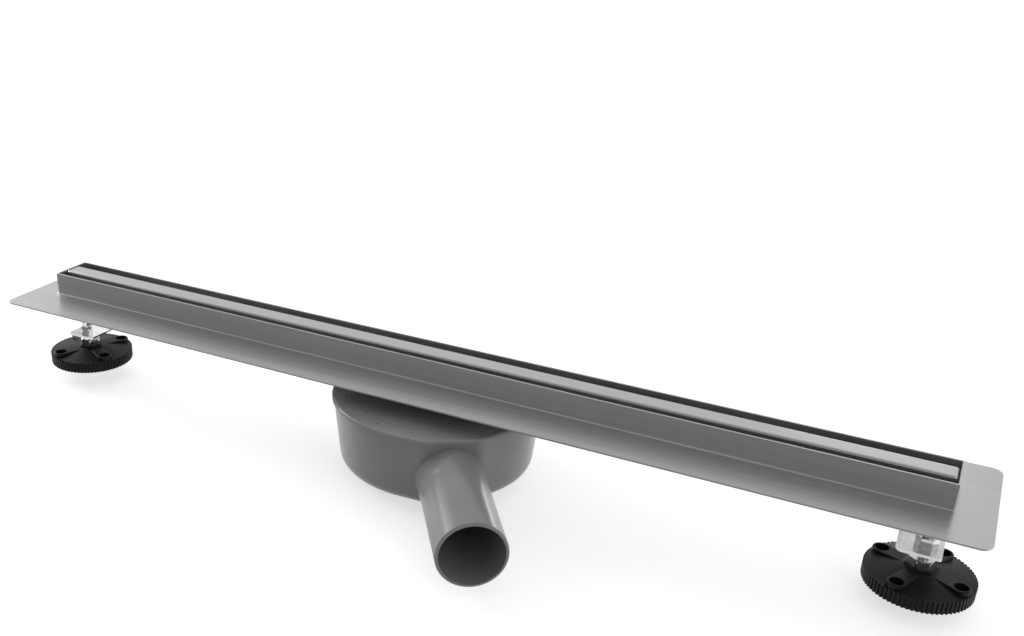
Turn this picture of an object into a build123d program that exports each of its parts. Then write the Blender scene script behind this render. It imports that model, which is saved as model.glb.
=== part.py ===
from build123d import *
import math
import os

# Linear shower drain: a steel channel with a raised slot collar and a loose slot cover,
# a plastic trap that swivels below it, and two threaded feet under its ends.
# Frame: X along the channel, Y across it, Z up. The origin is on the trap's swivel axis,
# in the plane of the trap's flat underside. All sizes are in millimetres.

# Shared by all the forms
overcut = 1.0
part_gap = 0.3
running_fit = 0.06
moulded_edge = 0.8
hex_bevel = 0.7
hex_turn = 8.0

# Channel: flange, collar and trough
flange_length = 800.0
flange_width = 114.4
flange_thickness = 1.2
flange_corner = 8.0
flange_top = 73.0
collar_end_margin = 25.0
collar_width = 36.7
collar_height = 19.0
trough_depth = 30.0
trough_sheet = 1.5
trough_bend = 1.5
trough_corner = 0.9
rim_round = 0.35
weld_leg = 1.0
weld_bevel = 0.9

# Slot cover and the two rests that carry it
cover_width = 15.5
cover_height = 21.1
cover_sheet = 1.2
cover_end_gap = 1.0
cover_corner = 2.0
cover_edge = 1.8
rest_height = 8.7
rest_length = 6.8
rest_sheet = 1.5
rest_bend = 1.0
rest_side_gap = 0.3
tongue_height = 9.0

# Inlet opening, gasket, strainer and the screws that clamp the swivel disc
inlet_length = 82.0
inlet_width = 24.0
inlet_corner = 3.0
gasket_thickness = 1.5
gasket_length = 122.0
gasket_corner = 6.0
gasket_inset = 0.6
strainer_lap = 2.7
strainer_width = 30.0
strainer_thickness = 1.5
strainer_rail = 3.2
strainer_window_corner = 1.0
strainer_edge = 0.5
rib_end_gap = 0.35
rib_count = 7
rib_thickness = 1.5
rib_width = 20.0
rib_depth = 8.0
screw_offset = 52.0
screw_radius = 2.0
screw_length = 14.5
screw_end_gap = 0.6
screw_head_radius = 4.0
screw_head_height = 2.6
screw_head_round = 1.5
screw_recess = 4.0
screw_recess_width = 1.0
screw_recess_depth = 1.3
screw_tip = 0.7
screw_hole_gap = 0.2

# Swivel: disc on the channel, lid on the trap, seal and retaining clip
barrel_radius = 63.2
disc_overhang = 5.05
disc_thickness = 4.3
barrel_wall = 3.2
barrel_height = 9.2
seal_thickness = 1.1
ledge_thickness = 3.0
lid_bore_wall = 3.2
groove_height = 2.6
groove_depth = 1.6
clip_width = 5.7
clip_thickness = 2.4
clip_gap = 9.0
duct_wall = 2.0
duct_depth = 10.0
duct_ledge = 1.2
duct_ledge_thickness = 2.5
web_thickness = 2.0
web_offset = 22.0
boss_radius = 4.4
boss_floor = 2.0

# Trap body, lid and outlet
rim_width = 14.95
lid_thickness = 3.5
lid_edge = 1.8
facet_half_width = 23.0
facet_corner = 12.0
body_step = 1.4
body_wall = 3.0
body_draft = 6.0
body_bottom_round = 12.0
outlet_angle = -55.7
outlet_radius = 25.0
outlet_wall = 2.2
outlet_lift = 0.3
outlet_reach = 181.0
outlet_chamfer = 1.0
flare_start = 60.0
flare_middle = 87.0
flare_middle_width = 26.0
flare_middle_height = 25.6
flare_end = 106.0
flare_width = 28.5
flare_height = 27.0
pip_count = 16
pip_radius = 1.1
pip_height = 0.5
pip_distance = 5.25

# Water seal insert: dip tube in a cup
tube_length = 68.0
tube_width = 12.0
tube_wall = 1.4
tube_end = 12.0
rim_height = 2.5
dip_seal_thickness = 1.2
funnel_height = 6.0
cup_wall = 1.4
cup_inner_corner = 0.6
cup_bottom = 6.0
cup_top = 40.0
window_width = 6.0
window_height = 3.0
window_drop = 5.0
stay_thickness = 2.0
foot_width = 4.0
nose_reach = 1.1

# Feet: bracket, nut, spindle and pad. The right foot is screwed out further than the left one
left_foot_inset = 40.5
right_foot_inset = 36.0
thread_pitch = 1.25
right_foot_turns_out = 2
tab_bottom = 32.7
bracket_sheet = 2.0
bracket_bend = 2.0
bracket_width = 30.0
leg_inboard = 16.0
tab_outboard = 11.0
tab_corner = 1.5
weld_flange = 20.0
spindle_radius = 4.0
tab_hole_gap = 0.5
nut_flats = 13.0
nut_height = 6.8
collar_flats = 16.0
collar_rise = 6.2
spindle_reach = 30.0
spindle_tip = 1.0
shank_radius = 5.0
rivet_radius = 7.5
rivet_height = 2.2
rivet_gap = 0.25
rivet_side_gap = 1.0
collar_gap = 5.2
pad_radius = 36.3
pad_height = 14.6
pad_rim = 9.3
cone_radius = 35.0
cone_top_radius = 9.0
cone_height = 13.4
tooth_count = 72
tooth_depth = 0.9
tooth_crest_start = 0.0
tooth_crest_end = 0.4
tooth_root_start = 0.55
tooth_root_end = 0.85
hub_flats = 19.0
arm_radius = 6.4
arm_root_radius = 5.0
arm_height = 12.8
arm_turn = -25.0
arm_count = 4
pad_hole_circle = 29.0
pad_hole_radius = 2.75
pad_sink_radius = 4.8
pad_sink_floor = 4.0
pocket_depth = 6.5
pocket_inner = 13.0
pocket_outer = 32.0
pocket_half_angle = 27.0

# Heights and sizes that follow from the ones above
floor_top = flange_top + collar_height - trough_depth
floor_under = floor_top - trough_sheet
rim_top = flange_top + collar_height
disc_top = floor_under - gasket_thickness
disc_under = disc_top - disc_thickness
ledge_top = disc_under - seal_thickness
ledge_under = ledge_top - ledge_thickness
lid_under = disc_top - lid_thickness
collar_length = flange_length - 2 * collar_end_margin
slot_length = collar_length - 2 * trough_sheet
slot_width = collar_width - 2 * trough_sheet
disc_radius = barrel_radius + disc_overhang
pip_circle = disc_radius + pip_distance
rim_radius = disc_radius + rim_width
body_radius = rim_radius - body_step
facet_half_angle = math.degrees(math.atan(facet_half_width / rim_radius))
groove_bottom = ledge_under - part_gap - groove_height
duct_floor = disc_top - duct_depth
ledge_length = inlet_length - 2 * duct_ledge
ledge_width = inlet_width - 2 * duct_ledge
strainer_length = inlet_length + 2 * strainer_lap
rib_pitch = (inlet_length - 2 * rib_end_gap - rib_thickness) / (rib_count - 1)
screw_low = floor_top - screw_length
insert_length = inlet_length - 2 * part_gap
insert_width = inlet_width - 2 * part_gap
cup_length = ledge_length - 2 * part_gap
cup_width = ledge_width - 2 * part_gap
window_low = cup_top - window_drop - window_height
left_foot_place = left_foot_inset - flange_length / 2
right_foot_place = flange_length / 2 - right_foot_inset
tab_top = tab_bottom + bracket_sheet
collar_top = tab_bottom - collar_gap
hub_top = collar_top - collar_rise
pad_bottom = hub_top - pad_height
rivet_top = pad_bottom + rivet_gap + rivet_height
outlet_height = outlet_radius + outlet_lift
outlet_plane = Plane(
    origin=(0, 0, outlet_height),
    x_dir=(-math.sin(math.radians(outlet_angle)), math.cos(math.radians(outlet_angle)), 0),
    z_dir=(math.cos(math.radians(outlet_angle)), math.sin(math.radians(outlet_angle)), 0),
)


def slab(length, width, low, high, corner=0.0):
    """Upright block centred on the Z axis, with rounded corners in plan."""
    outline = Rectangle(length, width)
    if corner > 0:
        outline = fillet(outline.vertices(), corner)
    return Pos(0, 0, low) * extrude(outline, high - low)


def disc(radius, low, high):
    """Upright cylinder on the Z axis between two heights."""
    return Pos(0, 0, low) * extrude(Circle(radius), high - low)


def hexagon(flats, low, high, turn=0.0):
    """Upright hexagonal block on the Z axis, by its width across flats."""
    outline = RegularPolygon(flats / 2, 6, major_radius=False, rotation=turn)
    return Pos(0, 0, low) * extrude(outline, high - low)


def edges_at(shape, height):
    """Edges of a shape that lie at one height."""
    return shape.edges().filter_by_position(Axis.Z, height, height)


def at_screws(shape):
    """A shape at the two places of the disc's screws, on the channel's centreline."""
    return [Pos(place, 0, 0) * shape for place in (-screw_offset, screw_offset)]


def inlet_cut(low, high):
    """The inlet's opening and the screws' holes, through a sheet between two heights."""
    opening = slab(inlet_length, inlet_width, low - overcut, high + overcut, inlet_corner)
    return opening + at_screws(disc(screw_radius + screw_hole_gap, low - overcut, high + overcut))


# Channel
def channel_flange():
    """Flat flange with the opening that the trough is welded into."""
    plate = slab(flange_length, flange_width, flange_top - flange_thickness, flange_top, flange_corner)
    seam_length = collar_length + 2 * weld_leg
    seam_width = collar_width + 2 * weld_leg
    return plate - slab(seam_length, seam_width, floor_under, rim_top, trough_corner + weld_leg)


def channel_trough():
    """Folded trough: its upper part stands above the flange as the collar of the slot."""
    outer = slab(collar_length, collar_width, floor_under, rim_top, trough_corner)
    outer = fillet(edges_at(outer, floor_under), trough_bend + trough_sheet)
    inner = slab(slot_length, slot_width, floor_top, rim_top + overcut, rim_round)
    inner = fillet(edges_at(inner, floor_top), trough_bend)
    trough = outer - inner
    trough = fillet(edges_at(trough, rim_top), rim_round) + weld_bead()
    return trough - inlet_cut(floor_under, floor_top)


def weld_bead():
    """Weld bead that fills the seam between collar and flange and stands a little above it."""
    bead = slab(
        collar_length + 2 * weld_leg,
        collar_width + 2 * weld_leg,
        flange_top - flange_thickness,
        flange_top + weld_leg,
        trough_corner + weld_leg,
    )
    bead = chamfer(edges_at(bead, flange_top + weld_leg), weld_bevel)
    return bead - slab(collar_length, collar_width, floor_top, rim_top, trough_corner)


def slot_cover():
    """Long cover of the slot: an upside-down tray of folded sheet with closed ends."""
    length = slot_length - 2 * cover_end_gap
    bottom = floor_top + rest_height
    top = bottom + cover_height
    outer = slab(length, cover_width, bottom, top, cover_corner)
    outer = fillet(edges_at(outer, top), cover_edge)
    inner = slab(
        length - 2 * cover_sheet,
        cover_width - 2 * cover_sheet,
        bottom - cover_sheet,
        top - cover_sheet,
        cover_corner - cover_sheet,
    )
    return outer - inner


def cover_rest(side):
    """Folded rest at one end of the trough, with a tongue that keeps the cover in the middle."""
    back = slot_length / 2
    front = back - rest_length
    top = floor_top + rest_height
    profile = Plane.XZ * make_face(
        Polyline(
            (front, floor_top),
            (front, top),
            (back, top),
            (back, top - rest_sheet),
            (front + rest_sheet, top - rest_sheet),
            (front + rest_sheet, floor_top),
            close=True,
        )
    )
    half = slot_width / 2 - rest_side_gap
    rest = extrude(profile, half, both=True)
    outer_bend = rest.edges().filter_by(Axis.Y).sort_by_distance((front, 0, top))[0]
    rest = fillet(outer_bend, rest_bend + rest_sheet)
    inside = (front + rest_sheet, 0, top - rest_sheet)
    inner_bend = rest.edges().filter_by(Axis.Y).sort_by_distance(inside)[0]
    rest = fillet(inner_bend, rest_bend)
    rest = fillet(edges_at(rest, floor_top).filter_by(Axis.X), trough_bend)
    tongue_width = cover_width - 2 * cover_sheet - 2 * rest_side_gap
    root = top - rest_bend - rest_sheet
    low_corner = (Align.MIN, Align.CENTER, Align.MIN)
    notch = Box(rest_length, tongue_width, 2 * rest_height, align=low_corner)
    rest -= Pos(front + rest_sheet, 0, root) * notch
    tongue = Box(rest_sheet, tongue_width, tongue_height + top - root, align=low_corner)
    tongue = fillet(tongue.edges().filter_by(Axis.X).group_by(Axis.Z)[-1], rest_sheet)
    rest += Pos(front, 0, root) * tongue
    return rest if side > 0 else mirror(rest, Plane.YZ)


# Inlet
def inlet_gasket():
    """Flat gasket between the trough and the swivel disc."""
    width = collar_width - 2 * gasket_inset
    gasket = slab(gasket_length, width, disc_top, floor_under, gasket_corner)
    return gasket - inlet_cut(disc_top, floor_under)


def hair_strainer():
    """Strainer comb: a flat frame on the trough's floor with blades that hang in the inlet."""
    top = floor_top + strainer_thickness
    frame = slab(strainer_length, strainer_width, floor_top, top, inlet_corner)
    frame = fillet(edges_at(frame, top), strainer_edge)
    window = slab(
        rib_pitch - rib_thickness,
        strainer_width - 2 * strainer_rail,
        floor_top - overcut,
        top + overcut,
        strainer_window_corner,
    )
    half = rib_width / 2
    low = floor_top - rib_depth
    outline = (
        (-half, floor_top),
        (half, floor_top),
        (half, floor_top - rib_depth / 2),
        (half / 2, low),
        (-half / 2, low),
        (-half, floor_top - rib_depth / 2),
    )
    blade = extrude(Plane.YZ * make_face(Polyline(*outline, close=True)), rib_thickness / 2, both=True)
    for number in range(rib_count):
        place = (number - (rib_count - 1) / 2) * rib_pitch
        frame += Pos(place, 0, 0) * blade
        if number > 0:
            frame -= Pos(place - rib_pitch / 2, 0, 0) * window
    return frame


def swivel_disc():
    """Round disc clamped below the trough, with the duct of the inlet and the barrel of the swivel."""
    body = disc(disc_radius, disc_under, disc_top)
    low = disc_under - barrel_height
    barrel = disc(barrel_radius, low, disc_under)
    body += barrel - disc(barrel_radius - barrel_wall, low - overcut, disc_under)
    duct_low = duct_floor - duct_ledge_thickness
    duct_corner = inlet_corner + duct_wall
    duct_length = inlet_length + 2 * duct_wall
    duct_width = inlet_width + 2 * duct_wall
    body += slab(duct_length, duct_width, duct_low, disc_under, duct_corner)
    body += Pos(0, 0, duct_low) * extrude(barrel_webs(), disc_under - duct_low)
    body += at_screws(disc(boss_radius, screw_low - screw_end_gap - boss_floor, disc_under))
    body -= at_screws(disc(screw_radius + running_fit, screw_low - screw_end_gap, disc_top + overcut))
    body -= slab(inlet_length, inlet_width, duct_floor, disc_top + overcut, inlet_corner)
    body -= slab(ledge_length, ledge_width, duct_low - overcut, duct_floor, inlet_corner - duct_ledge)
    groove = disc(barrel_radius + overcut, groove_bottom, groove_bottom + groove_height)
    groove -= disc(barrel_radius - groove_depth, groove_bottom, groove_bottom + groove_height)
    return body - groove


def barrel_webs():
    """Plan of the thin webs that join the duct to the barrel."""
    webs = Rectangle(2 * barrel_radius - barrel_wall, web_thickness)
    chord = 2 * math.sqrt(barrel_radius**2 - web_offset**2) - barrel_wall
    for offset in (-web_offset, web_offset):
        webs += Pos(offset, 0) * Rectangle(web_thickness, chord)
    return webs


def disc_screws():
    """The two pan-head screws that pull the disc up against the gasket."""
    head_top = floor_top + screw_head_height
    shank = chamfer(edges_at(disc(screw_radius, screw_low, floor_top), screw_low), screw_tip)
    head = fillet(edges_at(disc(screw_head_radius, floor_top, head_top), head_top), screw_head_round)
    recess = Rectangle(screw_recess, screw_recess_width) + Rectangle(screw_recess_width, screw_recess)
    head -= Pos(0, 0, head_top - screw_recess_depth) * extrude(recess, screw_head_height)
    return Compound(at_screws(shank + head))


def swivel_seal():
    """Flat rubber ring between the disc and the ledge of the lid."""
    ring = disc(disc_radius - part_gap, ledge_top, disc_under)
    return ring - disc(barrel_radius + part_gap, ledge_under, disc_top)


def retaining_clip():
    """Open spring clip in the barrel's groove, which holds the trap up."""
    inner = barrel_radius - groove_depth + part_gap / 2
    ring = disc(inner + clip_width, groove_bottom, groove_bottom + clip_thickness)
    ring -= disc(inner, groove_bottom - overcut, disc_top)
    return ring - Pos(-inner, 0, groove_bottom) * Box(inner, clip_gap, inner)


# Trap
def trap_outline(radius, corner):
    """Round outline with one flat facet across the outlet's direction."""
    half = math.radians(facet_half_angle)
    reach = radius * math.tan(half)
    touch = (radius * math.cos(2 * half), radius * math.sin(2 * half))
    curve = (
        Line((radius, -reach), (radius, reach))
        + Line((radius, reach), touch)
        + ThreePointArc(touch, (-radius, 0), (touch[0], -touch[1]))
        + Line((touch[0], -touch[1]), (radius, -reach))
    )
    outline = make_face(curve)
    corners = outline.vertices().sort_by_distance((radius, 0, 0))[:2]
    return Rot(0, 0, outlet_angle) * fillet(corners, corner)


def trap_lid():
    """Lid ring welded to the trap's body, with the ledge that the swivel disc sits on."""
    plate = Pos(0, 0, lid_under) * extrude(trap_outline(rim_radius, facet_corner), lid_thickness)
    plate = fillet(edges_at(plate, disc_top), lid_edge)
    bore = disc_radius + part_gap
    plate += disc(bore + lid_bore_wall, ledge_under, disc_top - lid_edge)
    plate -= disc(bore, ledge_top, disc_top + overcut)
    plate -= disc(barrel_radius + part_gap, ledge_under - overcut, ledge_top)
    pip = disc(pip_radius, disc_top - pip_height, disc_top + pip_height)
    for number in range(pip_count):
        turn = outlet_angle + number * 360 / pip_count
        plate += Rot(0, 0, turn) * Pos(pip_circle, 0, 0) * pip
    return plate


def pot(radius, low, high, bottom_round, corner):
    """Tapered pot form with a rounded bottom edge, closed at both ends."""
    low_radius = radius - (high - low) * math.tan(math.radians(body_draft))
    foot = Pos(0, 0, low) * trap_outline(low_radius, corner)
    form = loft([foot, Pos(0, 0, high) * trap_outline(radius, corner)], ruled=True)
    return fillet(edges_at(form, low), bottom_round)


def flare(inset, first):
    """Smooth passage from the pot's wall to the round outlet, lying on the trap's underside."""
    sections = []
    for along, width, height in (
        (first, flare_width, flare_height),
        (flare_middle, flare_middle_width, flare_middle_height),
        (flare_end, outlet_radius, outlet_radius),
    ):
        centre = height - outlet_radius
        sections.append(outlet_plane * Pos(0, centre, along) * Ellipse(width - inset, height - inset))
    return loft(sections)


def trap_body():
    """Moulded pot of the trap with its side outlet, open at the top."""
    outer = pot(body_radius, 0, lid_under, body_bottom_round, facet_corner)
    spigot = extrude(Circle(outlet_radius), outlet_reach - flare_end)
    spigot = chamfer(spigot.edges().group_by(Axis.Z)[-1], outlet_chamfer)
    outer += flare(0, flare_start) + outlet_plane * Pos(0, 0, flare_end) * spigot
    inner = pot(
        body_radius - body_wall,
        body_wall,
        lid_under + body_wall,
        body_bottom_round - body_wall,
        facet_corner - body_wall,
    )
    bore = outlet_plane * Pos(0, 0, flare_end) * extrude(Circle(outlet_radius - outlet_wall), outlet_reach)
    return outer - inner - flare(outlet_wall, flare_start - body_bottom_round) - bore


# Water seal insert
def dip_seal():
    """Thin seal under the dip tube's rim."""
    high = duct_floor + dip_seal_thickness
    corner = inlet_corner - duct_ledge
    ring = slab(insert_length, insert_width, duct_floor, high, inlet_corner)
    return ring - slab(cup_length, cup_width, duct_floor - overcut, high + overcut, corner)


def plan_at(length, width, height):
    """Rounded rectangle at one height, for the funnel's two ends."""
    return Pos(0, 0, height) * fillet(Rectangle(length, width).vertices(), inlet_corner - duct_ledge)


def dip_tube():
    """Funnel and flat tube that reach down into the cup, with the stays that hold the cup."""
    low = duct_floor + dip_seal_thickness
    high = low + rim_height
    throat = low - funnel_height
    bore_length = tube_length - 2 * tube_wall
    bore_width = tube_width - 2 * tube_wall
    corner = inlet_corner - duct_ledge
    tube = slab(insert_length, insert_width, low, high, inlet_corner)
    tube += loft([plan_at(cup_length, cup_width, low), plan_at(tube_length, tube_width, throat)])
    tube += slab(tube_length, tube_width, tube_end, throat, corner)
    mouth = plan_at(cup_length - 2 * tube_wall, cup_width - 2 * tube_wall, high)
    tube -= loft([mouth, plan_at(bore_length, bore_width, throat)])
    tube -= slab(bore_length, bore_width, tube_end - overcut, throat, corner)
    for side in (-1, 1):
        tube += Pos(side * tube_length / 2, 0, 0) * cup_hold(side)
    return tube


def cup_hold(side):
    """Stay, snap nose and foot at one end of the dip tube, drawn from the tube's end."""
    reach = (cup_length - tube_length) / 2 - cup_wall
    nose_low = window_low + part_gap
    nose_high = window_low + window_height - part_gap
    stay = slab(reach + tube_wall / 2, stay_thickness, tube_end, window_low + window_height)
    stay = Pos(side * (reach - tube_wall / 2) / 2, 0, 0) * stay
    nose = slab(nose_reach + stay_thickness, window_width - 2 * part_gap, nose_low, nose_high)
    nose = Pos(side * (reach + (nose_reach - stay_thickness) / 2), 0, 0) * nose
    foot = slab(tube_wall, foot_width, cup_bottom + cup_wall, tube_end + overcut)
    return stay + nose + Pos(-side * tube_wall / 2, 0, 0) * foot


def seal_cup():
    """Flat cup that keeps the water of the seal."""
    cup = slab(cup_length, cup_width, cup_bottom, cup_top, inlet_corner - duct_ledge)
    cup = fillet(edges_at(cup, cup_bottom), cup_wall)
    inner_length = cup_length - 2 * cup_wall
    inner_width = cup_width - 2 * cup_wall
    cup -= slab(inner_length, inner_width, cup_bottom + cup_wall, cup_top + overcut, cup_inner_corner)
    return cup - slab(cup_length + 2 * overcut, window_width, window_low, window_low + window_height)


# Feet, drawn on the Z axis with the drain's end towards +X
def foot_bracket():
    """Bracket of folded sheet, welded below the trough, with the tab that carries the foot."""
    inner = -leg_inboard
    outer = inner - bracket_sheet
    far = outer - weld_flange
    corners = (
        (far, floor_under),
        (inner, floor_under),
        (inner, tab_top),
        (tab_outboard, tab_top),
        (tab_outboard, tab_bottom),
        (outer, tab_bottom),
        (outer, floor_under - bracket_sheet),
        (far, floor_under - bracket_sheet),
    )
    bracket = extrude(Plane.XZ * make_face(Polyline(*corners, close=True)), bracket_width / 2, both=True)
    outer_bends = ((inner, floor_under), (outer, tab_bottom))
    inner_bends = ((inner, tab_top), (outer, floor_under - bracket_sheet))
    for bends, radius in ((outer_bends, bracket_bend + bracket_sheet), (inner_bends, bracket_bend)):
        for x, z in bends:
            edge = bracket.edges().filter_by(Axis.Y).sort_by_distance((x, 0, z))[0]
            bracket = fillet(edge, radius)
    upright = bracket.edges().filter_by(Axis.Z)
    bracket = fillet(upright.group_by(Axis.X)[-1] + upright.group_by(Axis.X)[0], tab_corner)
    return bracket - disc(spindle_radius + tab_hole_gap, tab_bottom - overcut, tab_top + overcut)


def turned_hexagon(flats, low, high, turn=0.0):
    """Hexagonal block whose corners are turned down at both ends."""
    turned = chamfer(disc(flats / math.sqrt(3), low, high).edges(), hex_bevel)
    return hexagon(flats, low, high, turn) & turned


def foot_nut():
    """Nut on the tab that the spindle is screwed through."""
    nut = turned_hexagon(nut_flats, tab_top, tab_top + nut_height)
    return nut - disc(spindle_radius + running_fit, tab_bottom, tab_top + 2 * nut_height)


def foot_spindle():
    """Threaded spindle with its hexagon, held in the pad by a riveted end."""
    rod_top = collar_top + spindle_reach
    spindle = turned_hexagon(collar_flats, hub_top, collar_top, hex_turn)
    spindle += chamfer(edges_at(disc(spindle_radius, hub_top, rod_top), rod_top), spindle_tip)
    spindle += disc(shank_radius, rivet_top, hub_top)
    return spindle + disc(rivet_radius, rivet_top - rivet_height, rivet_top)


def serrated_outline():
    """Outline of the pad's rim, with its row of small teeth."""
    points = []
    step = 2 * math.pi / tooth_count
    for number in range(tooth_count):
        for part, depth in (
            (tooth_crest_start, 0.0),
            (tooth_crest_end, 0.0),
            (tooth_root_start, tooth_depth),
            (tooth_root_end, tooth_depth),
        ):
            angle = (number + part) * step
            radius = pad_radius - depth
            points.append((radius * math.cos(angle), radius * math.sin(angle)))
    return make_face(Polyline(*points, close=True))


def pad_arm():
    """One raised arm of the pad, tapering from the screw hole to the hub."""
    tip = Pos(pad_hole_circle, 0) * Circle(arm_radius)
    root = Pos(arm_root_radius, 0) * Circle(arm_root_radius)
    low = pad_rim / 2
    arm = Pos(0, 0, pad_bottom + low) * extrude(make_hull(tip.edges() + root.edges()), arm_height - low)
    return fillet(edges_at(arm, pad_bottom + arm_height), moulded_edge)


def pad_pocket():
    """One hollow in the pad's underside, between two arms."""
    far = 2 * pad_radius
    spread = far * math.tan(math.radians(pocket_half_angle))
    wedge = make_face(Polyline((0, 0), (far, -spread), (far, spread), close=True))
    ring = Circle(pocket_outer) - Circle(pocket_inner)
    return Pos(0, 0, pad_bottom) * extrude(ring & wedge, pocket_depth)


def foot_pad():
    """Round plastic pad with a toothed rim, four arms with screw holes and a hexagonal hub."""
    low = pad_bottom - overcut
    slope = Polyline(
        (0, pad_bottom),
        (cone_radius, pad_bottom),
        (cone_radius, pad_bottom + pad_rim),
        (cone_top_radius, pad_bottom + cone_height),
        (0, pad_bottom + cone_height),
        close=True,
    )
    pad = Pos(0, 0, pad_bottom) * extrude(serrated_outline(), pad_rim)
    pad += revolve(Plane.XZ * make_face(slope), Axis.Z)
    arm_pitch = 360 / arm_count
    turns = [arm_turn + arm_pitch * number for number in range(arm_count)]
    pad += [Rot(0, 0, turn) * pad_arm() for turn in turns]
    pad += fillet(edges_at(hexagon(hub_flats, pad_bottom, hub_top, hex_turn), hub_top), moulded_edge)
    hole = disc(pad_hole_radius, low, hub_top) + disc(pad_sink_radius, pad_bottom + pad_sink_floor, hub_top)
    pad -= [Rot(0, 0, turn) * Pos(pad_hole_circle, 0, 0) * hole for turn in turns]
    pad -= [Rot(0, 0, turn + arm_pitch / 2) * pad_pocket() for turn in turns]
    pad -= disc(shank_radius + running_fit, low, hub_top + overcut)
    return pad - disc(rivet_radius + rivet_side_gap, low, rivet_top + rivet_gap)


def facing(shape, side):
    """A piece of the right end as it is, or mirrored for the left end."""
    return shape if side > 0 else mirror(shape, Plane.YZ)


def all_pieces():
    """Every piece by its node's name."""
    pieces = {
        "channel_flange": channel_flange(),
        "channel_trough": channel_trough(),
        "slot_cover": slot_cover(),
        "inlet_gasket": inlet_gasket(),
        "hair_strainer": hair_strainer(),
        "swivel_disc": swivel_disc(),
        "disc_screws": disc_screws(),
        "swivel_seal": swivel_seal(),
        "retaining_clip": retaining_clip(),
        "trap_lid": trap_lid(),
        "trap_body": trap_body(),
        "dip_seal": dip_seal(),
        "dip_tube": dip_tube(),
        "seal_cup": seal_cup(),
    }
    for name, side, place, drop in (
        ("left", -1, left_foot_place, 0.0),
        ("right", 1, right_foot_place, right_foot_turns_out * thread_pitch),
    ):
        pieces[name + "_cover_rest"] = cover_rest(side)
        pieces[name + "_foot_bracket"] = Pos(place, 0, 0) * facing(foot_bracket(), side)
        pieces[name + "_foot_nut"] = Pos(place, 0, 0) * foot_nut()
        pieces[name + "_foot_spindle"] = Pos(place, 0, -drop) * foot_spindle()
        pieces[name + "_foot_pad"] = Pos(place, 0, -drop) * foot_pad()
    return pieces


os.makedirs("parts", exist_ok=True)
for node, piece in all_pieces().items():
    export_step(piece, f"parts/{node}.step")
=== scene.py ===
"""Looks of a linear shower drain, laid out as an add-on and run as a script."""

import math

import bpy
from mathutils import Matrix, Vector


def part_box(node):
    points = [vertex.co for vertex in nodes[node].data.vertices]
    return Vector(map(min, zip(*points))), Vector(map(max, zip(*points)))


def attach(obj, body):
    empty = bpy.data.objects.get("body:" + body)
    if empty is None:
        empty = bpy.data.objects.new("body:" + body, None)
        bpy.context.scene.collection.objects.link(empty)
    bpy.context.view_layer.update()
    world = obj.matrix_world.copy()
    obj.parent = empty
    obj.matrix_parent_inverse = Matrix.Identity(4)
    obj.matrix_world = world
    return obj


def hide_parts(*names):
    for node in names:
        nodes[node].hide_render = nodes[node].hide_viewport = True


bl_info = {
    "name": "Linear shower drain",
    "version": (1, 0, 0),
    "blender": (4, 5, 0),
    "location": "View3D > Sidebar > Drain",
    "description": "Finishes and fine detail of a linear shower drain with a swivelling trap",
    "category": "Object",
}

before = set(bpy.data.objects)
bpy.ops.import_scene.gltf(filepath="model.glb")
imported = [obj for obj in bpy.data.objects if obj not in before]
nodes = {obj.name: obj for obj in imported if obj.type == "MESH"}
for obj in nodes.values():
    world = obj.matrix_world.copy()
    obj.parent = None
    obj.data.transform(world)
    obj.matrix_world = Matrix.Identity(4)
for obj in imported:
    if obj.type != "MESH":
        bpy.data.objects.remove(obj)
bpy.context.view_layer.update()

IMAGE_WIDTH = 1024
IMAGE_HEIGHT = 636
SENSOR_WIDTH = 36.0

# Lowest and highest roughness of each finish
SHEET_ROUGHNESS = (0.27, 0.37)
ZINC_ROUGHNESS = (0.10, 0.18)
STEEL_ROUGHNESS = (0.25, 0.40)
TRAP_ROUGHNESS = (0.20, 0.26)
INSERT_ROUGHNESS = (0.32, 0.42)
PAD_ROUGHNESS = (0.36, 0.48)
RUBBER_ROUGHNESS = 0.75

# Heights of the finest bumps, in metres
GRIND_DEPTH = 0.00005
SKIN_DEPTH = 0.0001

# Parts of the turned spindle
TURN_SEGMENTS = 72
BEVEL_RINGS = 5
BEVEL_SLOPE = 0.5
RINGS_PER_PITCH = 8
RIVET_HEIGHT = 0.0022
RIVET_BEVEL = 0.0004
SHARP_ANGLE = math.radians(24)

# Each lamp's name, place, size in metres and power in watts
LAMPS = (
    ("key_light", (-2.0, 0.2, 0.8), 1.2, 20.0),
    ("fill_light", (1.9, -1.2, 1.0), 1.2, 7.0),
    ("back_light", (0.2, 2.6, 0.3), 0.5, 3.5),
)

# Where mirrored floor turns from the painted grey of its reflection to white, from this Y to that one
FLOOR_FRONT = -0.16
FLOOR_BACK = -0.06

# Directions across which the surroundings get brighter
WORLD_FRONT = -0.5
WORLD_BACK = 0.6


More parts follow.
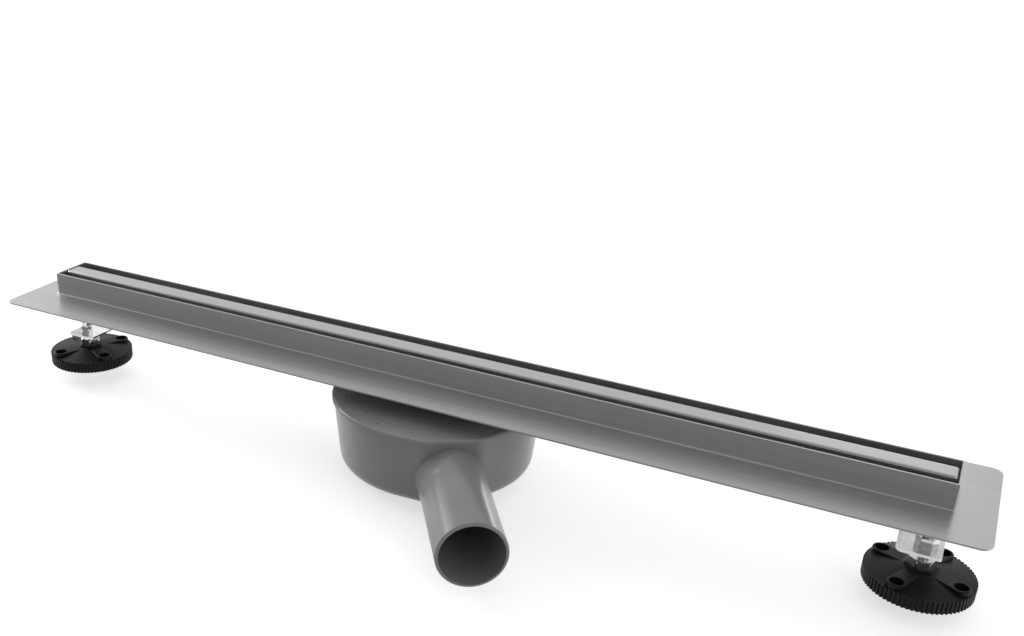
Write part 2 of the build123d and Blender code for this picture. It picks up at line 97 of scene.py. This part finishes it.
# Material building blocks
class Maker:
    """Small helper that adds and links the nodes of one material."""

    def __init__(self, name):
        self.material = bpy.data.materials.new(name)
        self.material.use_nodes = True
        self.tree = self.material.node_tree
        self.tree.nodes.clear()
        self.output = self.add("ShaderNodeOutputMaterial")
        self.shader = self.add("ShaderNodeBsdfPrincipled")
        self.link(self.shader, "BSDF", self.output, "Surface")

    def add(self, kind, **settings):
        """A new node with its settings and the default values of its sockets."""
        node = self.tree.nodes.new(kind)
        for name, value in settings.items():
            if name in node.inputs:
                node.inputs[name].default_value = value
            else:
                setattr(node, name, value)
        return node

    def link(self, source, out_name, target, in_name):
        """A link from one socket to another."""
        self.tree.links.new(source.outputs[out_name], target.inputs[in_name])

    def stretched(self, scale):
        """Object coordinates, stretched by a scale for each axis."""
        place = self.add("ShaderNodeTexCoord")
        stretch = self.add("ShaderNodeMapping")
        stretch.inputs["Scale"].default_value = scale
        self.link(place, "Object", stretch, "Vector")
        return stretch

    def noise(self, scale, detail=4.0, stretch=(1.0, 1.0, 1.0)):
        """Noise in object space, stretched by the given scale of each axis."""
        place = self.stretched(stretch)
        noise = self.add("ShaderNodeTexNoise")
        noise.inputs["Scale"].default_value = scale
        noise.inputs["Detail"].default_value = detail
        self.link(place, "Vector", noise, "Vector")
        return noise

    def spread(self, source, low, high, out_name="Fac", start=0.3, end=0.7):
        """A value of 0 to 1 turned into the range from low to high."""
        spread = self.add("ShaderNodeMapRange")
        spread.inputs["From Min"].default_value = start
        spread.inputs["From Max"].default_value = end
        spread.inputs["To Min"].default_value = low
        spread.inputs["To Max"].default_value = high
        self.link(source, out_name, spread, "Value")
        return spread

    def shades(self, source, dark, light, out_name="Fac", start=0.3, end=0.7):
        """A value turned into a colour between two greys."""
        ramp = self.add("ShaderNodeValToRGB")
        ramp.color_ramp.elements[0].position = start
        ramp.color_ramp.elements[1].position = end
        ramp.color_ramp.elements[0].color = (dark, dark, dark, 1.0)
        ramp.color_ramp.elements[1].color = (light, light, light, 1.0)
        self.link(source, out_name, ramp, "Fac")
        return ramp

    def bump(self, source, strength, distance, out_name="Fac"):
        """Bump from a value, linked to the shader's normal."""
        bump = self.add("ShaderNodeBump")
        bump.inputs["Strength"].default_value = strength
        bump.inputs["Distance"].default_value = distance
        self.link(source, out_name, bump, "Height")
        self.link(bump, "Normal", self.shader, "Normal")
        return bump

    def set(self, **values):
        """Plain values on the shader's own sockets, with _ for a space."""
        for name, value in values.items():
            self.shader.inputs[name.replace("_", " ")].default_value = value


def brushed_stainless(tone, grain):
    """Stainless sheet with fine grinding lines along the channel."""
    make = Maker("brushed_stainless")
    make.set(Metallic=1.0)
    lines = make.noise(grain, 6.0, (0.012, 1.0, 1.0))
    streaks = make.noise(38.0, 3.0, (0.05, 1.0, 1.0))
    both = make.add("ShaderNodeMix", data_type="FLOAT")
    both.inputs["Factor"].default_value = 0.3
    make.link(lines, "Fac", both, "A")
    make.link(streaks, "Fac", both, "B")
    colour = make.shades(both, tone * 0.90, tone * 1.05, "Result", 0.32, 0.68)
    make.link(colour, "Color", make.shader, "Base Color")
    rough = make.spread(both, *SHEET_ROUGHNESS, "Result")
    make.link(rough, "Result", make.shader, "Roughness")
    make.bump(lines, 0.12, GRIND_DEPTH)
    make.set(Anisotropic=0.55, Anisotropic_Rotation=0.25)
    along = make.add("ShaderNodeVectorTransform", vector_type="VECTOR")
    along.convert_from = "OBJECT"
    along.convert_to = "WORLD"
    along.inputs["Vector"].default_value = (1.0, 0.0, 0.0)
    make.link(along, "Vector", make.shader, "Tangent")
    return make.material


def bright_zinc(tone):
    """Thin bright plating with faint uneven patches."""
    make = Maker("bright_zinc")
    make.set(Metallic=1.0)
    patches = make.noise(160.0, 3.0)
    colour = make.shades(patches, tone * 0.86, tone * 1.06)
    make.link(colour, "Color", make.shader, "Base Color")
    rough = make.spread(patches, *ZINC_ROUGHNESS)
    make.link(rough, "Result", make.shader, "Roughness")
    make.bump(patches, 0.04, SKIN_DEPTH)
    return make.material


def plain_steel(tone):
    """Turned steel of the small screws and the clip."""
    make = Maker("plain_steel")
    make.set(Metallic=1.0)
    marks = make.noise(420.0, 3.0)
    colour = make.shades(marks, tone * 0.85, tone)
    make.link(colour, "Color", make.shader, "Base Color")
    rough = make.spread(marks, *STEEL_ROUGHNESS)
    make.link(rough, "Result", make.shader, "Roughness")
    return make.material


def moulded_plastic(name, tone, grain, roughness, strength, gloss=0.5):
    """Moulded plastic: even colour with soft clouds, fine skin and a satin gloss."""
    make = Maker(name)
    make.set(Specular_IOR_Level=gloss)
    clouds = make.noise(14.0, 3.0)
    skin = make.noise(grain, 2.0)
    colour = make.shades(clouds, tone * 0.93, tone * 1.07)
    make.link(colour, "Color", make.shader, "Base Color")
    rough = make.spread(clouds, *roughness)
    make.link(rough, "Result", make.shader, "Roughness")
    make.bump(skin, strength, SKIN_DEPTH)
    return make.material


def soft_rubber(tone):
    """Dull rubber of the seals."""
    make = Maker("soft_rubber")
    skin = make.noise(900.0, 2.0)
    colour = make.shades(skin, tone * 0.8, tone * 1.2)
    make.link(colour, "Color", make.shader, "Base Color")
    make.set(Roughness=RUBBER_ROUGHNESS)
    make.bump(skin, 0.15, SKIN_DEPTH)
    return make.material


def dress(material, names):
    """One finish on several of the model's nodes."""
    for name in names:
        mesh = nodes[name].data
        mesh.materials.clear()
        mesh.materials.append(material)


def sharp_where_bent(piece, angle):
    """Smooth shading that stays sharp over real edges."""
    mesh = piece.data
    mesh.shade_smooth()
    mesh.set_sharp_from_angle(angle=angle)


def turned_piece(name, rings, segments, centre):
    """Closed mesh on an upright axis: a ring gives radius and height at an angle."""
    verts = [(0.0, 0.0, rings[0](0.0)[1])]
    for ring in rings:
        for step in range(segments):
            angle = 2 * math.pi * step / segments
            radius, height = ring(angle)
            verts.append((radius * math.cos(angle), radius * math.sin(angle), height))
    verts.append((0.0, 0.0, rings[-1](0.0)[1]))
    faces = []
    last = len(verts) - 1
    for step in range(segments):
        beside = (step + 1) % segments
        faces.append((0, 1 + beside, 1 + step))
        for row in range(len(rings) - 1):
            low = 1 + row * segments
            high = low + segments
            faces.append((low + step, low + beside, high + beside, high + step))
        top = last - segments
        faces.append((last, top + step, top + beside))
    mesh = bpy.data.meshes.new(name)
    mesh.from_pydata(verts, [], faces)
    mesh.update()
    piece = bpy.data.objects.new(name, mesh)
    piece.location = (centre[0], centre[1], 0.0)
    bpy.context.scene.collection.objects.link(piece)
    return piece


def hexagon_radius(angle, flats, turn):
    """Distance from the axis to a hexagon's side at an angle."""
    sixth = math.pi / 3
    return flats / 2 / math.cos((angle - turn) % sixth - sixth / 2)


def thread_radius(angle, height, crest, depth, pitch):
    """Radius of a right-hand thread at an angle and a height."""
    place = (height / pitch - angle / (2 * math.pi)) % 1.0
    slope = abs(place - 0.5) * 2
    return crest - depth * min(1.0, max(0.0, (slope - 0.125) / 0.625))


def threaded_spindle(name, node, steel):
    """Spindle with its riveted end, its hexagon and a real thread."""
    low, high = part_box(node)
    centre = ((low.x + high.x) / 2, (low.y + high.y) / 2)
    collar_top = high.z - steel.rod_length
    collar_low = collar_top - steel.collar_height
    corner = steel.collar_flats / math.sqrt(3)
    bevel = corner - steel.collar_flats / 2

    def ring(radius, height):
        return lambda angle: (radius, height)

    def hexagon_ring(height, cut):
        def at(angle):
            side = hexagon_radius(angle, steel.collar_flats, steel.collar_turn)
            return min(corner - cut, side), height

        return at

    def thread_ring(height):
        def at(angle):
            depth = steel.thread_depth
            return thread_radius(angle, height, steel.rod_radius, depth, steel.thread_pitch), height

        return at

    rivet_top = low.z + RIVET_HEIGHT
    rings = [ring(steel.rivet_radius * 0.9, low.z), ring(steel.rivet_radius, low.z + RIVET_BEVEL)]
    rings += [ring(steel.rivet_radius, rivet_top), ring(steel.shank_radius, rivet_top)]
    rings += [ring(steel.shank_radius, collar_low)]
    for part in range(BEVEL_RINGS + 1):
        rise = bevel * BEVEL_SLOPE * part / BEVEL_RINGS
        rings.append(hexagon_ring(collar_low + rise, bevel * (1 - part / BEVEL_RINGS)))
    for part in range(BEVEL_RINGS + 1):
        fall = bevel * BEVEL_SLOPE * (1 - part / BEVEL_RINGS)
        rings.append(hexagon_ring(collar_top - fall, bevel * part / BEVEL_RINGS))
    rings.append(ring(steel.rod_radius - steel.thread_depth, collar_top))
    reach = steel.rod_length - steel.rod_tip
    rows = round(reach / steel.thread_pitch * RINGS_PER_PITCH)
    rings += [thread_ring(collar_top + reach * row / rows) for row in range(rows + 1)]
    rings.append(ring(steel.rod_radius - steel.rod_tip, high.z))
    piece = turned_piece(name, rings, TURN_SEGMENTS, centre)
    sharp_where_bent(piece, SHARP_ANGLE)
    return piece


# Settings
class DrainSteel(bpy.types.PropertyGroup):
    """Finish of the stainless sheet and the plated steel."""

    tone: bpy.props.FloatProperty(
        name="Stainless tone", description="Grey of the brushed sheet", default=0.60, min=0.0, max=1.0
    )
    grain: bpy.props.FloatProperty(
        name="Grain", description="Fineness of the grinding lines", default=900.0, min=50.0, max=4000.0
    )
    zinc_tone: bpy.props.FloatProperty(
        name="Zinc tone", description="Grey of the bright plating", default=0.74, min=0.0, max=1.0
    )
    screw_tone: bpy.props.FloatProperty(
        name="Screw tone", description="Grey of the screws and the clip", default=0.6, min=0.0, max=1.0
    )
    rod_radius: bpy.props.FloatProperty(
        name="Rod radius", description="Outer radius of the spindles' thread",
        default=0.00398, unit="LENGTH",
    )
    rod_length: bpy.props.FloatProperty(
        name="Rod length", description="Threaded length above the hexagon",
        default=0.030, unit="LENGTH",
    )
    rod_tip: bpy.props.FloatProperty(
        name="Rod tip", description="Bevel at the rod's upper end", default=0.0008, unit="LENGTH"
    )
    collar_flats: bpy.props.FloatProperty(
        name="Hexagon", description="Width across the flats of the spindles' hexagon",
        default=0.016, unit="LENGTH",
    )
    collar_height: bpy.props.FloatProperty(
        name="Hexagon height", description="Height of the spindles' hexagon",
        default=0.0062, unit="LENGTH",
    )
    collar_turn: bpy.props.FloatProperty(
        name="Hexagon turn", description="Turn of the spindles' hexagon",
        default=math.radians(8), subtype="ANGLE",
    )
    shank_radius: bpy.props.FloatProperty(
        name="Shank radius", description="Radius of the shank inside the pad",
        default=0.005, unit="LENGTH",
    )
    rivet_radius: bpy.props.FloatProperty(
        name="Rivet radius", description="Radius of the riveted end", default=0.0075, unit="LENGTH"
    )
    thread_pitch: bpy.props.FloatProperty(
        name="Thread pitch", description="Pitch of the spindles' thread",
        default=0.00125, min=0.0005, unit="LENGTH",
    )
    thread_depth: bpy.props.FloatProperty(
        name="Thread depth", description="Depth of the spindles' thread",
        default=0.00062, min=0.0001, unit="LENGTH",
    )


class DrainPlastic(bpy.types.PropertyGroup):
    """Finish of the moulded pieces."""

    trap_tone: bpy.props.FloatProperty(
        name="Trap tone", description="Grey of the trap's plastic", default=0.25, min=0.0, max=1.0
    )
    insert_tone: bpy.props.FloatProperty(
        name="Insert tone", description="Grey of the tube and the cup", default=0.45, min=0.0, max=1.0
    )
    pad_tone: bpy.props.FloatProperty(
        name="Pad tone", description="Grey of the pads and the strainer", default=0.010, min=0.0, max=1.0
    )
    pad_gloss: bpy.props.FloatProperty(
        name="Pad gloss", description="Gloss of the pads and the strainer", default=0.18, min=0.0, max=1.0
    )


class DrainStage(bpy.types.PropertyGroup):
    """Camera, lights and floor."""

    lens: bpy.props.FloatProperty(
        name="Lens", description="Focal length on a 36 mm sensor",
        default=40.345, min=10.0, unit="CAMERA",
    )
    place: bpy.props.FloatVectorProperty(
        name="Camera place", description="Camera's place", size=3,
        default=(0.35756, -0.729921, 0.44602), subtype="TRANSLATION", unit="LENGTH",
    )
    right: bpy.props.FloatVectorProperty(
        name="Camera right", description="Direction of the picture's right side", size=3,
        default=(0.8860, 0.4631, 0.0244), subtype="DIRECTION",
    )
    down: bpy.props.FloatVectorProperty(
        name="Camera down", description="Direction of the picture's lower side", size=3,
        default=(0.2157, -0.3649, -0.9057), subtype="DIRECTION",
    )
    centre: bpy.props.FloatVectorProperty(
        name="Picture centre", description="Pixel that the camera's axis goes through", size=2,
        default=(423.263, 381.892),
    )
    floor_size: bpy.props.FloatProperty(
        name="Floor size", description="Side of the floor", default=40.0, min=1.0, unit="LENGTH"
    )
    floor_height: bpy.props.FloatProperty(
        name="Floor height", description="Height of the floor, just below the feet when screwed out",
        default=-0.0085, unit="LENGTH",
    )
    floor_glow: bpy.props.FloatProperty(
        name="Floor glow", description="Glow that brings the seen floor up to white", default=0.60, min=0.0
    )
    # Painted shade: grey that only mirrored rays see on the floor in front of the drain, which paints a
    # darker reflection into the metal.
    painted_reflection_grey: bpy.props.FloatProperty(
        name="Floor shade", description="Grey of the mirrored floor in front of the drain",
        default=0.38, min=0.0, max=1.0,
    )
    front_strength: bpy.props.FloatProperty(
        name="Front strength", description="Brightness of the surroundings in front", default=0.34, min=0.0
    )
    back_strength: bpy.props.FloatProperty(
        name="Back strength", description="Brightness of the surroundings behind", default=0.76, min=0.0
    )


SETTINGS = (
    ("drain_steel", DrainSteel),
    ("drain_plastic", DrainPlastic),
    ("drain_stage", DrainStage),
)


class DrainOperator:
    """Shared part of the drain's operators."""

    bl_options = {"REGISTER", "UNDO"}


class DRAIN_OT_channel(DrainOperator, bpy.types.Operator):
    """Give the flange, the trough, the cover and its rests their brushed finish"""

    bl_idname = "drain.channel"
    bl_label = "Channel and cover"

    def execute(self, context):
        steel = context.scene.drain_steel
        sheet = ["channel_flange", "channel_trough", "slot_cover"]
        rests = ["left_cover_rest", "right_cover_rest"]
        dress(brushed_stainless(steel.tone, steel.grain), sheet + rests)
        return {"FINISHED"}


class DRAIN_OT_trap(DrainOperator, bpy.types.Operator):
    """Give the disc, the lid and the pot with its outlet their satin grey plastic"""

    bl_idname = "drain.trap"
    bl_label = "Trap"

    def execute(self, context):
        plastic = context.scene.drain_plastic
        tone = plastic.trap_tone
        grey = moulded_plastic("satin_grey_plastic", tone, 700.0, TRAP_ROUGHNESS, 0.02)
        dress(grey, ["swivel_disc", "trap_lid", "trap_body"])
        return {"FINISHED"}


class DRAIN_OT_insert(DrainOperator, bpy.types.Operator):
    """Finish the tube with its cup, the seals and the small steel pieces"""

    bl_idname = "drain.insert"
    bl_label = "Strainer and water seal"

    def execute(self, context):
        plastic = context.scene.drain_plastic
        tone = plastic.insert_tone
        light = moulded_plastic("light_plastic", tone, 700.0, INSERT_ROUGHNESS, 0.04)
        dress(light, ["dip_tube", "seal_cup"])
        dress(soft_rubber(plastic.pad_tone), ["inlet_gasket", "swivel_seal", "dip_seal"])
        dress(plain_steel(context.scene.drain_steel.screw_tone), ["disc_screws", "retaining_clip"])
        return {"FINISHED"}


class DRAIN_OT_feet(DrainOperator, bpy.types.Operator):
    """Finish the pads, brackets, nuts and spindles"""

    bl_idname = "drain.feet"
    bl_label = "Feet"

    def execute(self, context):
        steel = context.scene.drain_steel
        plastic = context.scene.drain_plastic
        tone = plastic.pad_tone
        black = moulded_plastic("black_plastic", tone, 1100.0, PAD_ROUGHNESS, 0.10, plastic.pad_gloss)
        dress(black, ["left_foot_pad", "right_foot_pad", "hair_strainer"])
        zinc = bright_zinc(steel.zinc_tone)
        for side in ("left", "right"):
            node = side + "_foot_spindle"
            dress(zinc, [side + "_foot_bracket", side + "_foot_nut", node])
            spindle = threaded_spindle(side + "_threaded_spindle", node, steel)
            spindle.data.materials.append(zinc)
            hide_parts(node)
            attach(spindle, side + "_spindle")
        return {"FINISHED"}


class DRAIN_OT_stage(DrainOperator, bpy.types.Operator):
    """Set up the floor, the lights, the world and the camera"""

    bl_idname = "drain.stage"
    bl_label = "Stage"

    def execute(self, context):
        stage = context.scene.drain_stage
        context.scene.view_settings.view_transform = "Standard"
        white_floor(stage)
        studio_world(context.scene, stage)
        for name, place, size, power in LAMPS:
            soft_light(name, place, size, power)
        photo_camera(context.scene, stage)
        return {"FINISHED"}


def white_floor(stage):
    """Pale floor below the drain, which keeps its shadow; mirrored rays see its front in a painted grey
    that darkens the metal's reflection.
    """
    half = stage.floor_size / 2
    corners = [(-half, -half, 0), (half, -half, 0), (half, half, 0), (-half, half, 0)]
    mesh = bpy.data.meshes.new("floor")
    mesh.from_pydata(corners, [], [(0, 1, 2, 3)])
    floor = bpy.data.objects.new("floor", mesh)
    floor.location.z = stage.floor_height
    bpy.context.scene.collection.objects.link(floor)
    make = Maker("pale_floor")
    make.set(Roughness=0.9)
    grain = make.noise(3.0, 2.0)
    colour = make.shades(grain, 0.78, 0.80)
    rays = make.add("ShaderNodeLightPath")
    place = make.add("ShaderNodeTexCoord")
    split = make.add("ShaderNodeSeparateXYZ")
    make.link(place, "Object", split, "Vector")
    behind = make.spread(split, 0.0, 1.0, "Y", FLOOR_FRONT, FLOOR_BACK)
    mirrored = make.add("ShaderNodeMath", operation="MULTIPLY")
    make.link(rays, "Is Glossy Ray", mirrored, 0)
    make.link(behind, "Result", mirrored, 1)
    # Painted darker reflection: mirrored rays in front of the drain see the floor in flat grey instead of
    # its own colour.
    painted_dark_reflection = make.add("ShaderNodeMath", operation="SUBTRACT")
    make.link(rays, "Is Glossy Ray", painted_dark_reflection, 0)
    make.link(mirrored, "Value", painted_dark_reflection, 1)
    tint = make.add("ShaderNodeMix", data_type="RGBA")
    tint.inputs["B"].default_value = (stage.painted_reflection_grey, stage.painted_reflection_grey, stage.painted_reflection_grey, 1.0)
    make.link(painted_dark_reflection, "Value", tint, "Factor")
    make.link(colour, "Color", tint, "A")
    make.link(tint, "Result", make.shader, "Base Color")
    seen = make.add("ShaderNodeMath", operation="MAXIMUM")
    make.link(rays, "Is Camera Ray", seen, 0)
    make.link(rays, "Is Transmission Ray", seen, 1)
    white = make.add("ShaderNodeMath", operation="MAXIMUM")
    make.link(seen, "Value", white, 0)
    make.link(mirrored, "Value", white, 1)
    glow = make.add("ShaderNodeMath", operation="MULTIPLY")
    make.link(white, "Value", glow, 0)
    glow.inputs[1].default_value = stage.floor_glow
    make.shader.inputs["Emission Color"].default_value = (1.0, 1.0, 1.0, 1.0)
    make.link(glow, "Value", make.shader, "Emission Strength")
    mesh.materials.append(make.material)


def studio_world(scene, stage):
    """Pale surroundings, brighter behind the drain, and white where the camera sees them."""
    world = bpy.data.worlds.new("studio")
    world.use_nodes = True
    tree = world.node_tree
    background = tree.nodes["Background"]
    background.inputs["Color"].default_value = (1.0, 1.0, 1.0, 1.0)
    place = tree.nodes.new("ShaderNodeTexCoord")
    split = tree.nodes.new("ShaderNodeSeparateXYZ")
    tree.links.new(place.outputs["Generated"], split.inputs["Vector"])
    spread = tree.nodes.new("ShaderNodeMapRange")
    spread.interpolation_type = "SMOOTHSTEP"
    spread.inputs["From Min"].default_value = WORLD_FRONT
    spread.inputs["From Max"].default_value = WORLD_BACK
    spread.inputs["To Min"].default_value = stage.front_strength
    spread.inputs["To Max"].default_value = stage.back_strength
    tree.links.new(split.outputs["Y"], spread.inputs["Value"])
    rays = tree.nodes.new("ShaderNodeLightPath")
    seen = tree.nodes.new("ShaderNodeMath")
    seen.operation = "MAXIMUM"
    tree.links.new(rays.outputs["Is Camera Ray"], seen.inputs[0])
    tree.links.new(rays.outputs["Is Transmission Ray"], seen.inputs[1])
    white = tree.nodes.new("ShaderNodeMath")
    white.operation = "MAXIMUM"
    tree.links.new(seen.outputs["Value"], white.inputs[0])
    tree.links.new(spread.outputs["Result"], white.inputs[1])
    tree.links.new(white.outputs["Value"], background.inputs["Strength"])
    scene.world = world


def soft_light(name, place, size, power):
    """Square area lamp that faces the drain."""
    lamp = bpy.data.lights.new(name, "AREA")
    lamp.size = size
    lamp.energy = power
    holder = bpy.data.objects.new(name, lamp)
    holder.location = place
    holder.rotation_mode = "QUATERNION"
    holder.rotation_quaternion = (-Vector(place)).to_track_quat("-Z", "Y")
    bpy.context.scene.collection.objects.link(holder)


def photo_camera(scene, stage):
    """Camera at the picture's viewing angle."""
    data = bpy.data.cameras.new("camera")
    data.sensor_width = SENSOR_WIDTH
    data.lens = stage.lens
    data.shift_x = (IMAGE_WIDTH / 2 - stage.centre[0]) / IMAGE_WIDTH
    data.shift_y = (stage.centre[1] - IMAGE_HEIGHT / 2) / IMAGE_WIDTH
    camera = bpy.data.objects.new("camera", data)
    right = Vector(stage.right).normalized()
    up = -Vector(stage.down)
    back = right.cross(up).normalized()
    up = back.cross(right)
    turn = Matrix((right, up, back)).transposed().to_4x4()
    camera.matrix_world = Matrix.Translation(Vector(stage.place)) @ turn
    scene.collection.objects.link(camera)
    scene.camera = camera


class DRAIN_PT_panel(bpy.types.Panel):
    """Sidebar panel with the drain's settings and its steps"""

    bl_label = "Linear shower drain"
    bl_idname = "DRAIN_PT_panel"
    bl_space_type = "VIEW_3D"
    bl_region_type = "UI"
    bl_category = "Drain"

    def draw(self, context):
        for name, group in SETTINGS:
            box = self.layout.box()
            for field in group.__annotations__:
                box.prop(getattr(context.scene, name), field)
        for operator in OPERATORS:
            self.layout.operator(operator.bl_idname)


OPERATORS = (DRAIN_OT_channel, DRAIN_OT_trap, DRAIN_OT_insert, DRAIN_OT_feet, DRAIN_OT_stage)


def register():
    """Add the classes and the scene's settings."""
    for name, group in SETTINGS:
        bpy.utils.register_class(group)
        setattr(bpy.types.Scene, name, bpy.props.PointerProperty(type=group))
    for operator in OPERATORS:
        bpy.utils.register_class(operator)
    bpy.utils.register_class(DRAIN_PT_panel)


def unregister():
    """Take the classes and the settings away again."""
    bpy.utils.unregister_class(DRAIN_PT_panel)
    for operator in reversed(OPERATORS):
        bpy.utils.unregister_class(operator)
    for name, group in reversed(SETTINGS):
        delattr(bpy.types.Scene, name)
        bpy.utils.unregister_class(group)


def main():
    """Register the add-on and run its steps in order."""
    register()
    bpy.ops.drain.channel()
    bpy.ops.drain.trap()
    bpy.ops.drain.insert()
    bpy.ops.drain.feet()
    bpy.ops.drain.stage()


if __name__ == "__main__":
    main()
